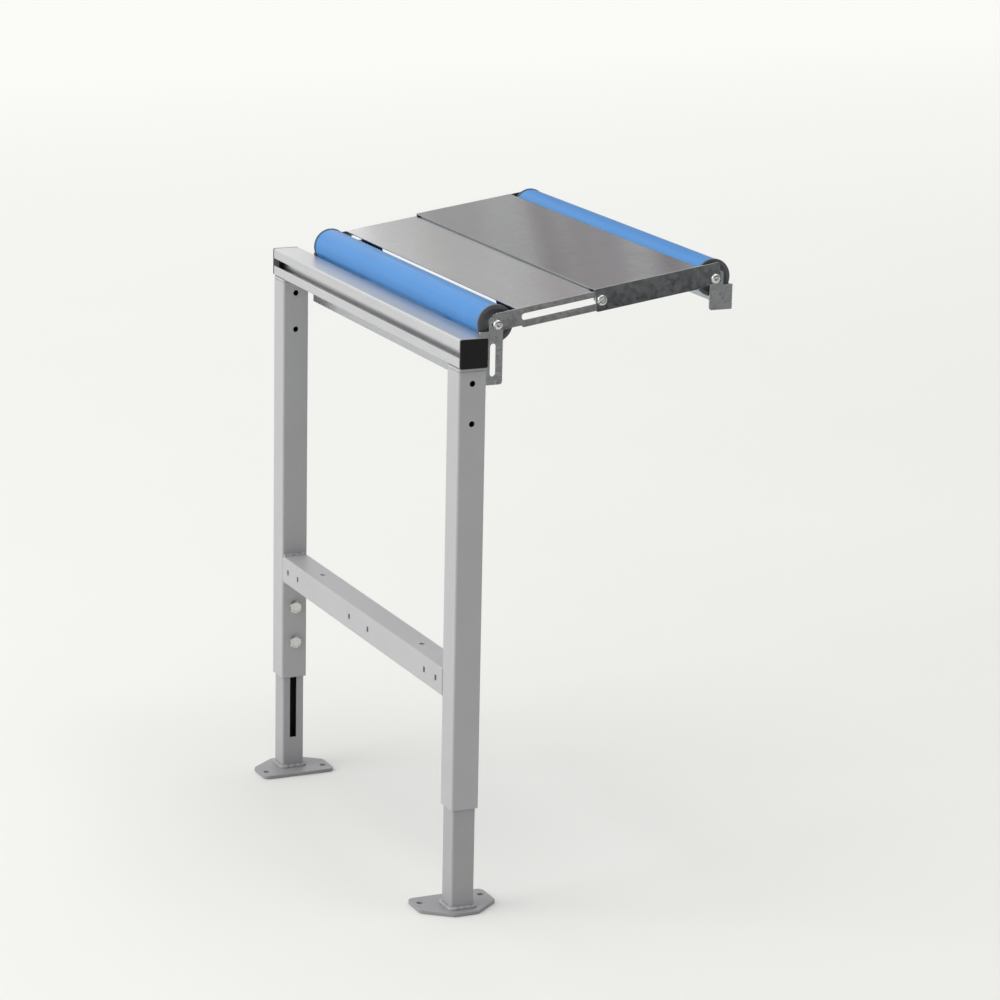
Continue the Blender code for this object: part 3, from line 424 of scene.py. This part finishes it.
# Cradles. Folded from 2 mm galvanised sheet with rounded ears that carry the roller axles. The zinc froze in
# flat crystals, so the metal is a patchwork of brighter and duller spangle, with bare bright cut edges.
def galvanised(name, shade, bright, roughness, spangle):
    made, tree, shader, place = finish(name, 1, roughness)
    wander = node(tree, "TexNoise", {"Vector": place, "Scale": 1 / (5 * mm), "Detail": 2})
    shift = node(tree, "VectorMath", {0: wander.outputs["Color"], "Scale": 2.2 * mm}, operation="SCALE")
    warped = node(tree, "VectorMath", {0: place, 1: shift.outputs[0]}, operation="ADD")
    # Small spangle, 3 to 8 mm across
    crystal = node(tree, "TexVoronoi", {"Vector": warped.outputs[0], "Scale": 1 / (6 * mm)})
    facets = node(tree, "SeparateColor", {"Color": crystal.outputs["Color"]})
    rolled = node(tree, "Mapping", {"Vector": place, "Scale": (1, 1 / 60, 1)})
    streak = node(tree, "TexNoise", {"Vector": rolled.outputs[0], "Scale": 1 / (1.5 * mm), "Detail": 3})
    cloud = node(tree, "TexNoise", {"Vector": place, "Scale": 1 / (45 * mm), "Detail": 3})
    add = {"operation": "MULTIPLY_ADD"}
    share = node(tree, "Math", {0: facets.outputs[0], 1: spangle, 2: 0.5 - spangle}, **add)
    blend = node(tree, "Math", {0: cloud.outputs["Fac"], 1: 0.5, 2: share.outputs[0]}, **add)
    tone = node(tree, "Mix", {0: blend.outputs[0], 6: linear(shade), 7: linear(bright)}, data_type="RGBA")
    fine = node(tree, "MapRange", {"Value": streak.outputs["Fac"], 1: 0.3, 2: 0.7, 3: 0.95, 4: 1.04})
    layers = {0: 1.0, 6: tone.outputs[2], 7: fine.outputs[0]}
    zinc = node(tree, "Mix", layers, data_type="RGBA", blend_type="MULTIPLY")
    tree.links.new(zinc.outputs[2], shader.inputs["Base Color"])
    dull = node(tree, "MapRange", {"Value": facets.outputs[1], 3: roughness - 0.03, 4: roughness + 0.04})
    tree.links.new(dull.outputs[0], shader.inputs["Roughness"])
    relief = node(tree, "Math", {0: crystal.outputs["Distance"], 1: 0.12, 2: streak.outputs["Fac"]}, **add)
    skin = node(tree, "Bump", {"Height": relief.outputs[0], "Strength": 0.1, "Distance": 0.02 * mm})
    tree.links.new(skin.outputs["Normal"], shader.inputs["Normal"])
    return made


sheet_zinc = galvanised("galvanised_sheet_small_spangle", "#A9ADB0", "#C0C3C5", 0.28, 0.3)


def upright_fold(x, ends):
    """Tests for the vertical bend lines at the two ends of a cradle's back plate."""
    def test(a, b):
        straight = abs(a.x - b.x) < 0.01 * mm and abs(a.y - b.y) < 0.01 * mm and abs(a.z - b.z) > 20 * mm
        return straight and abs(a.x - x) < 0.05 * mm and min(abs(a.y - y) for y in ends) < 0.05 * mm
    return test


low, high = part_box("stand_cradle")
bends = [(upright_fold(low.x, (low.y, high.y)), 1.8 * mm)]
cradle = eased("stand_cradle_fold", "stand_cradle", 0.22 * mm, 2, bends)
fitted(cradle, sheet_zinc, "stand", "galvanised_sheet", "stand_cradle")
low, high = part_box("bench_cradle")
bends = [(upright_fold(high.x, (low.y, high.y)), 1.8 * mm)]
hook = eased("bench_cradle_fold", "bench_cradle", 0.22 * mm, 2, bends)
fitted(hook, sheet_zinc, "bench_hook", "galvanised_sheet", "bench_cradle")


# Button-head screws. M8, zinc plated, with a domed head and a hexagon socket: two hold the stand cradle in
# the beam's groove, and one at each end of both axles pinches a deck arm and a cradle ear together.
def button_screw(name, source, body, along):
    low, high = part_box(source)
    axis = Vector(along)
    middle = (low + high) / 2
    ends = [low.dot(axis), high.dot(axis)]
    crown = max(ends)
    length = max(ends) - min(ends)
    head = 4.4 * mm
    place = middle - axis * middle.dot(axis) + axis * (crown - head)
    tail = -(length - head)
    dome = [(2.9 * mm + 4.1 * mm * math.sin(t), 0.7 * mm + 3.7 * mm * math.cos(t)) for t in
            [math.pi / 2 * (1 - k / 8) for k in range(9)]]
    rings = [(0, tail), (3.3 * mm, tail), (4 * mm, tail + 0.8 * mm), (4 * mm, 0)]
    rings += [(6.8 * mm, 0), (7 * mm, 0.25 * mm)] + dome
    rings += [
        (2.75 * mm, head, 6, 3.05 * mm), (2.5 * mm, head - 0.25 * mm, 6), (2.5 * mm, head - 2.3 * mm, 6),
        (1.2 * mm, head - 2.5 * mm), (0, head - 2.9 * mm),
    ]
    fitted(spun(name, rings, place, along, 48, smooth=35), bolt_zinc, body, "zinc_plate", source)


for side, sign in (("front", -1), ("rear", 1)):
    button_screw(f"{side}_cradle_button", f"cradle_screw_{side}", "stand", (1, 0, 0))
    button_screw(f"{side}_lower_axle_button", f"lower_axle_screw_{side}", "stand", (0, sign, 0))
    button_screw(f"{side}_upper_axle_button", f"upper_axle_screw_{side}", "deck_upper", (0, sign, 0))
    for source in (f"cradle_nut_{side}", f"beam_nut_{side}", f"beam_screw_{side}"):
        dressed(source, bolt_zinc)


# Rollers. Light blue rigid PVC tube, extruded and cut to length, with a moulded grey housing pressed into
# each end; each housing holds a ball bearing that runs on a ground steel axle.
def extruded_blue():
    made, tree, shader, place = finish("light_blue_pvc_tube", 0, 0.34)
    drawn = node(tree, "Mapping", {"Vector": place, "Scale": (1, 1 / 150, 1)})
    lines = node(tree, "TexNoise", {"Vector": drawn.outputs[0], "Scale": 1 / (1.5 * mm), "Detail": 3})
    cloud = node(tree, "TexNoise", {"Vector": place, "Scale": 1 / (50 * mm), "Detail": 3})
    blues = {0: cloud.outputs["Fac"], 6: linear("#2175BA"), 7: linear("#2A7EC2")}
    tone = node(tree, "Mix", blues, data_type="RGBA")
    tree.links.new(tone.outputs[2], shader.inputs["Base Color"])
    # Handling scuffs dull the gloss in long faint bands
    dull = node(tree, "MapRange", {"Value": lines.outputs["Fac"], 1: 0.3, 2: 0.7, 3: 0.29, 4: 0.42})
    tree.links.new(dull.outputs[0], shader.inputs["Roughness"])
    skin = node(tree, "Bump", {"Height": lines.outputs["Fac"], "Strength": 0.12, "Distance": 0.03 * mm})
    tree.links.new(skin.outputs["Normal"], shader.inputs["Normal"])
    return made


tube_blue = extruded_blue()
housing_grey = moulded_plastic("dark_grey_polypropylene", "#505155", "#5E5F63", 0.36)
axle_steel = zinc_plate("ground_axle_steel", "#B9BBBD", "#A6A8AA", 0.3)
for level, body in (("lower", "roller_lower"), ("upper", "roller_upper")):
    source = f"{level}_roller_tube"
    low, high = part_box(source)
    middle = (low + high) / 2
    half = (high.y - low.y) / 2
    outer = (high.z - low.z) / 2
    bore = outer - 2.8 * mm
    rings = [
        (bore, half), (bore + 0.4 * mm, half), (outer - 0.5 * mm, half), (outer, half - 0.5 * mm),
        (outer, half / 3), (outer, -half / 3), (outer, -half + 0.5 * mm), (outer - 0.5 * mm, -half),
        (bore + 0.4 * mm, -half), (bore, -half),
    ]
    tube = spun(f"{level}_roller_skin", rings, middle, (0, 1, 0), 128, closed=True)
    fitted(tube, tube_blue, body, "roller_tube", source)
    for side, sign in (("front", -1), ("rear", 1)):
        source = f"{level}_roller_end_{side}"
        end = Vector((middle.x, middle.y + sign * half, middle.z))
        rings = [
            (24.6 * mm, 3.4 * mm), (25.3 * mm, 3.5 * mm), (25.8 * mm, 3.2 * mm), (26 * mm, 2.6 * mm),
            (26 * mm, 0.7 * mm), (25.7 * mm, 0.35 * mm), (bore - 0.3 * mm, 0.3 * mm),
            (bore - 0.3 * mm, -17 * mm), (bore - 1.2 * mm, -18 * mm),
            (14.4 * mm, -18 * mm), (14.3 * mm, -5 * mm), (7.2 * mm, -5 * mm),
            (7.2 * mm, 4.6 * mm), (7.6 * mm, 5 * mm), (10.6 * mm, 5 * mm), (11.2 * mm, 4.6 * mm),
            (11.9 * mm, 3.2 * mm), (12.4 * mm, 1.6 * mm), (13.2 * mm, 1.2 * mm), (19 * mm, 1.2 * mm),
            (19.8 * mm, 1.6 * mm), (20.2 * mm, 3 * mm), (20.7 * mm, 3.4 * mm), (22.4 * mm, 3.5 * mm),
            (22.6 * mm, 3.1 * mm), (23.4 * mm, 3.1 * mm), (23.6 * mm, 3.5 * mm),
        ]
        housing = spun(f"{level}_{side}_housing", rings, end, (0, sign, 0), 96, closed=True, smooth=32)
        fitted(housing, housing_grey, body, "roller_end", source)
        dressed(f"{level}_bearing_{side}", axle_steel)
    dressed(f"{level}_axle", axle_steel)

# Deck sheets. 1.5 mm galvanised steel, guillotined and folded down along both sides into long arms. The
# lower sheet's arms are slotted and swing on the lower axle screws; the upper sheet slides over it, with its
# arms outside.
lower_zinc = galvanised("galvanised_lower_sheet", "#B9BBBD", "#C8CACB", 0.2, 0.1)
upper_zinc = galvanised("galvanised_upper_sheet", "#909497", "#A6A9AC", 0.15, 0.14)
# The slanted faces along every bend take a much brighter zinc: a painted highlight where the folds catch the
# lamp
bend_highlight_zinc = galvanised("painted_highlight_zinc_bend", "#E4E6E8", "#F2F3F4", 0.42, 0.1)
slide = next(j for j in frame["joints"] if j["name"] == "deck_extend")
downhill = Vector(slide["axis"]).normalized()
uphill = Vector((0, -1, 0)).cross(downhill)


def long_fold(ends, height):
    """Tests for the bend lines where a deck sheet's sides turn down."""
    def test(a, b):
        level = abs(a.dot(uphill) - height) < 0.05 * mm and abs(b.dot(uphill) - height) < 0.05 * mm
        lengthwise = abs((a - b).dot(downhill)) > 60 * mm
        return level and lengthwise and min(abs(a.y - y) + abs(b.y - y) for y in ends) < 0.1 * mm
    return test


def rolled_edge(start, height):
    """Tests for the edge where the upper sheet is hemmed over the lower one."""
    def test(a, b):
        level = abs(a.dot(uphill) - height) < 0.05 * mm and abs(b.dot(uphill) - height) < 0.05 * mm
        return level and abs(a.dot(downhill) - start) < 0.05 * mm and abs(b.dot(downhill) - start) < 0.05 * mm
    return test


for level, body, coating in (("lower", "deck_lower", lower_zinc), ("upper", "deck_upper", upper_zinc)):
    source = f"{level}_deck_sheet"
    spots = [v.co for v in frame["nodes"][source].data.vertices]
    height = max(v.dot(uphill) for v in spots)
    start = min(v.dot(downhill) for v in spots)
    low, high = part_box(source)
    bends = [(long_fold((low.y, high.y), height), 1.2 * mm)]
    if level == "upper":
        bends.append((rolled_edge(start, height), 1.3 * mm))
    sheet = eased(f"{level}_deck_fold", source, 0.2 * mm, 2, bends)
    fitted(sheet, coating, body, "galvanised_sheet", source)
    sheet.data.materials.append(bend_highlight_zinc)
    # Slanted bend faces near the top get the painted highlight
    for face in sheet.data.polygons:
        slanted = 0.25 < face.normal.dot(uphill) < 0.97
        if slanted and face.center.dot(uphill) > height - 1.5 * mm:
            face.material_index = 1

# Painted shade on the tabs. The faces of the lower sheet's two short tabs by the roller take a near-black
# finish: painted shade for the deep shadow the tabs lie in under the deck.
tab_painted_shade = moulded_plastic("black_painted_shade_on_tabs", "#131314", "#1B1B1C", 0.9, 0.15)
lower = bpy.data.objects["lower_deck_fold"]
lower.data.materials.append(tab_painted_shade)
low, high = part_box("lower_deck_sheet")
sheet_top = max(v.co.dot(uphill) for v in lower.data.vertices)
# Tab faces below the sheet's top get the near-black painted shade
for face in lower.data.polygons:
    inboard = low.y + 6 * mm < face.center.y < high.y - 6 * mm
    if inboard and face.center.dot(uphill) < sheet_top - 1.6 * mm:
        face.material_index = 2

# Lock screws. Slotted pan-head M8 screws run in the lower arms' slots and stop the deck at its length; their
# hexagon nuts sit inside the arms.
for side, sign in (("front", -1), ("rear", 1)):
    source = f"lock_screw_{side}"
    low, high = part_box(source)
    middle = (low + high) / 2
    crown = low.y if sign < 0 else high.y
    head = 4.8 * mm
    tail = -(high.y - low.y - head)
    dome = [(4.6 * mm + 2.9 * mm * math.sin(t), 1.5 * mm + 3.3 * mm * math.cos(t)) for t in
            [math.pi / 2 * (1 - k / 8) for k in range(9)]]
    rings = [(0, tail), (3.3 * mm, tail), (4 * mm, tail + 0.8 * mm), (4 * mm, 0)]
    rings += [(7.2 * mm, 0), (7.5 * mm, 0.3 * mm)] + dome + [(0, head)]
    under_head = Vector((middle.x, crown - sign * head, middle.z))
    screw = spun(f"{side}_lock_pan", rings, under_head, (0, sign, 0), 64)
    groove = bmesh.new()
    bmesh.ops.create_cube(groove, size=1)
    turn = Matrix.Rotation(math.radians(-35), 4, "Y")
    size = Matrix.Diagonal((20 * mm, 4 * mm, 1.7 * mm, 1))
    placed = Matrix.Translation((middle.x, crown, middle.z)) @ turn @ size
    bmesh.ops.transform(groove, matrix=placed, verts=groove.verts)
    cutter = shown(f"{side}_lock_groove", groove)
    cut = screw.modifiers.new("Driver slot", "BOOLEAN")
    cut.operation = "DIFFERENCE"
    cut.solver = "EXACT"
    cut.object = cutter
    done = bpy.data.meshes.new_from_object(screw.evaluated_get(bpy.context.evaluated_depsgraph_get()))
    screw.modifiers.clear()
    screw.data = done
    done.shade_smooth()
    done.set_sharp_from_angle(angle=math.radians(35))
    bpy.data.objects.remove(cutter)
    fitted(screw, bolt_zinc, "deck_upper", "zinc_plate", source)
    dressed(f"lock_nut_{side}", bolt_zinc)

# Studio. A wide pale floor, a bright room that is dimmer behind the viewer, a large soft lamp on the left and
# a small one overhead.
floor_mesh = bmesh.new()
bmesh.ops.create_grid(floor_mesh, x_segments=1, y_segments=1, size=60)
floor = shown("studio_floor", floor_mesh)
floor.location.z = cad_box[0][2] - 0.2 * mm
made, tree, shader, place = finish("pale_floor", 0, 0.75)
cloud = node(tree, "TexNoise", {"Vector": place, "Scale": 1.2, "Detail": 2})
paint = {0: cloud.outputs["Fac"], 6: linear("#DFDFDD"), 7: linear("#E3E3E1")}
tone = node(tree, "Mix", paint, data_type="RGBA")
# It is painted paler towards the back of the room: painted light that blends the floor into the bright room
depth = node(tree, "SeparateXYZ", {"Vector": place})
far = node(tree, "MapRange", {"Value": depth.outputs["Y"], 1: 0.5, 2: 8.0, 3: 0.0, 4: 1.0})
pale = node(tree, "Mix", {0: far.outputs[0], 6: tone.outputs[2], 7: linear("#FEFEFD")}, data_type="RGBA")
tree.links.new(pale.outputs[2], shader.inputs["Base Color"])
floor.data.materials.append(made)

# A dark mat on the floor before the object's front right corner, seen only where bright metal mirrors it
mat_mesh = bmesh.new()
bmesh.ops.create_grid(mat_mesh, x_segments=2, y_segments=2, size=1)
mat = shown("studio_mat", mat_mesh)
mat.scale = (1.5, 1.3, 1)
mat.location = (2.3, -3.5, cad_box[0][2] + 1 * mm)
mat.visible_camera = False
mat.visible_diffuse = False
mat.visible_shadow = False
made, tree, shader, place = finish("dark_mat", 0, 0.9)
weave = node(tree, "TexNoise", {"Vector": place, "Scale": 6.0, "Detail": 2})
wool = {0: weave.outputs["Fac"], 6: linear("#1E1E20"), 7: linear("#2A2A2C")}
tone = node(tree, "Mix", wool, data_type="RGBA")
tree.links.new(tone.outputs[2], shader.inputs["Base Color"])
mat.data.materials.append(made)

# A panel beyond the deck, pale at one end and grey with soft upright bands at the other, seen only where the
# deck sheets and other bright metal mirror it
panel_mesh = bmesh.new()
bmesh.ops.create_grid(panel_mesh, x_segments=2, y_segments=2, size=1)
panel = shown("studio_panel", panel_mesh)
panel.scale = (1, 0.6, 1)
panel.rotation_euler = (math.radians(90), 0, 0)
panel.location = (1.45, 1.3, 1.45)
panel.visible_camera = False
panel.visible_diffuse = False
panel.visible_shadow = False
made, tree, shader, place = finish("grey_panel", 0, 0.8)
upright = node(tree, "Mapping", {"Vector": place, "Scale": (11, 0.5, 1)})
bands = node(tree, "TexNoise", {"Vector": upright.outputs[0], "Scale": 1.0, "Detail": 1})
depth = node(tree, "MapRange", {"Value": bands.outputs["Fac"], 1: 0.38, 2: 0.62})
greys = {0: depth.outputs[0], 6: linear("#EBE9EB"), 7: linear("#AB9CA0")}
banded = node(tree, "Mix", greys, data_type="RGBA")
across = node(tree, "SeparateXYZ", {"Vector": place})
reach = node(tree, "MapRange", {"Value": across.outputs[0], 1: -1.0, 2: -0.6})
tone = node(tree, "Mix", {0: reach.outputs[0], 6: linear("#FAFAFA"), 7: banded.outputs[2]}, data_type="RGBA")
tree.links.new(tone.outputs[2], shader.inputs["Base Color"])
panel.data.materials.append(made)

# The room brightens from behind the viewer towards the far left
world = bpy.data.worlds.new("studio_room")
bpy.context.scene.world = world
world.use_nodes = True
tree = world.node_tree
room = tree.nodes["Background"]
way = node(tree, "TexCoord").outputs["Generated"]
lean = node(tree, "VectorMath", {0: way, 1: (-0.45, 0.75, 0.5)}, operation="DOT_PRODUCT")
level = node(tree, "MapRange", {"Value": lean.outputs["Value"], 1: -0.7, 2: 0.35, 3: 0.12, 4: 1.15})
# Looked at directly, the room is plain and pale all round
direct = node(tree, "LightPath").outputs["Is Camera Ray"]
strength = node(tree, "Math", {0: level.outputs[0], 1: direct}, operation="MAXIMUM")
tree.links.new(strength.outputs[0], room.inputs["Strength"])
room.inputs["Color"].default_value = linear("#FFFFFD")

lamp = bpy.data.lights.new("soft_key", "AREA")
lamp.shape = "RECTANGLE"
lamp.size = 3.0
lamp.size_y = 2.2
lamp.energy = 70
key = bpy.data.objects.new("soft_key", lamp)
key.location = (-4.0, 0.4, 2.4)
key.rotation_euler = (Vector((0.1, 0, 0.4)) - key.location).to_track_quat("-Z", "Y").to_euler()
bpy.context.scene.collection.objects.link(key)

strip = bpy.data.lights.new("soft_top", "AREA")
strip.size = 1.5
strip.energy = 20
top = bpy.data.objects.new("soft_top", strip)
top.location = (1.1, -1.2, 4.4)
top.rotation_euler = (Vector((0.2, 0, 0.8)) - top.location).to_track_quat("-Z", "Y").to_euler()
bpy.context.scene.collection.objects.link(top)

# The camera looks down on the near left corner from about 5 m away
lens = bpy.data.cameras.new("view")
lens.sensor_width = 36
lens.lens = 128.5
lens.clip_end = 200
eye = bpy.data.objects.new("view", lens)
eye.location = (-1.8907, -4.5549, 1.7919)
eye.rotation_euler = (math.radians(75.39), math.radians(-1.12), math.radians(-24.37))
bpy.context.scene.collection.objects.link(eye)
bpy.context.scene.camera = eye
bpy.context.scene.view_settings.view_transform = "Standard"
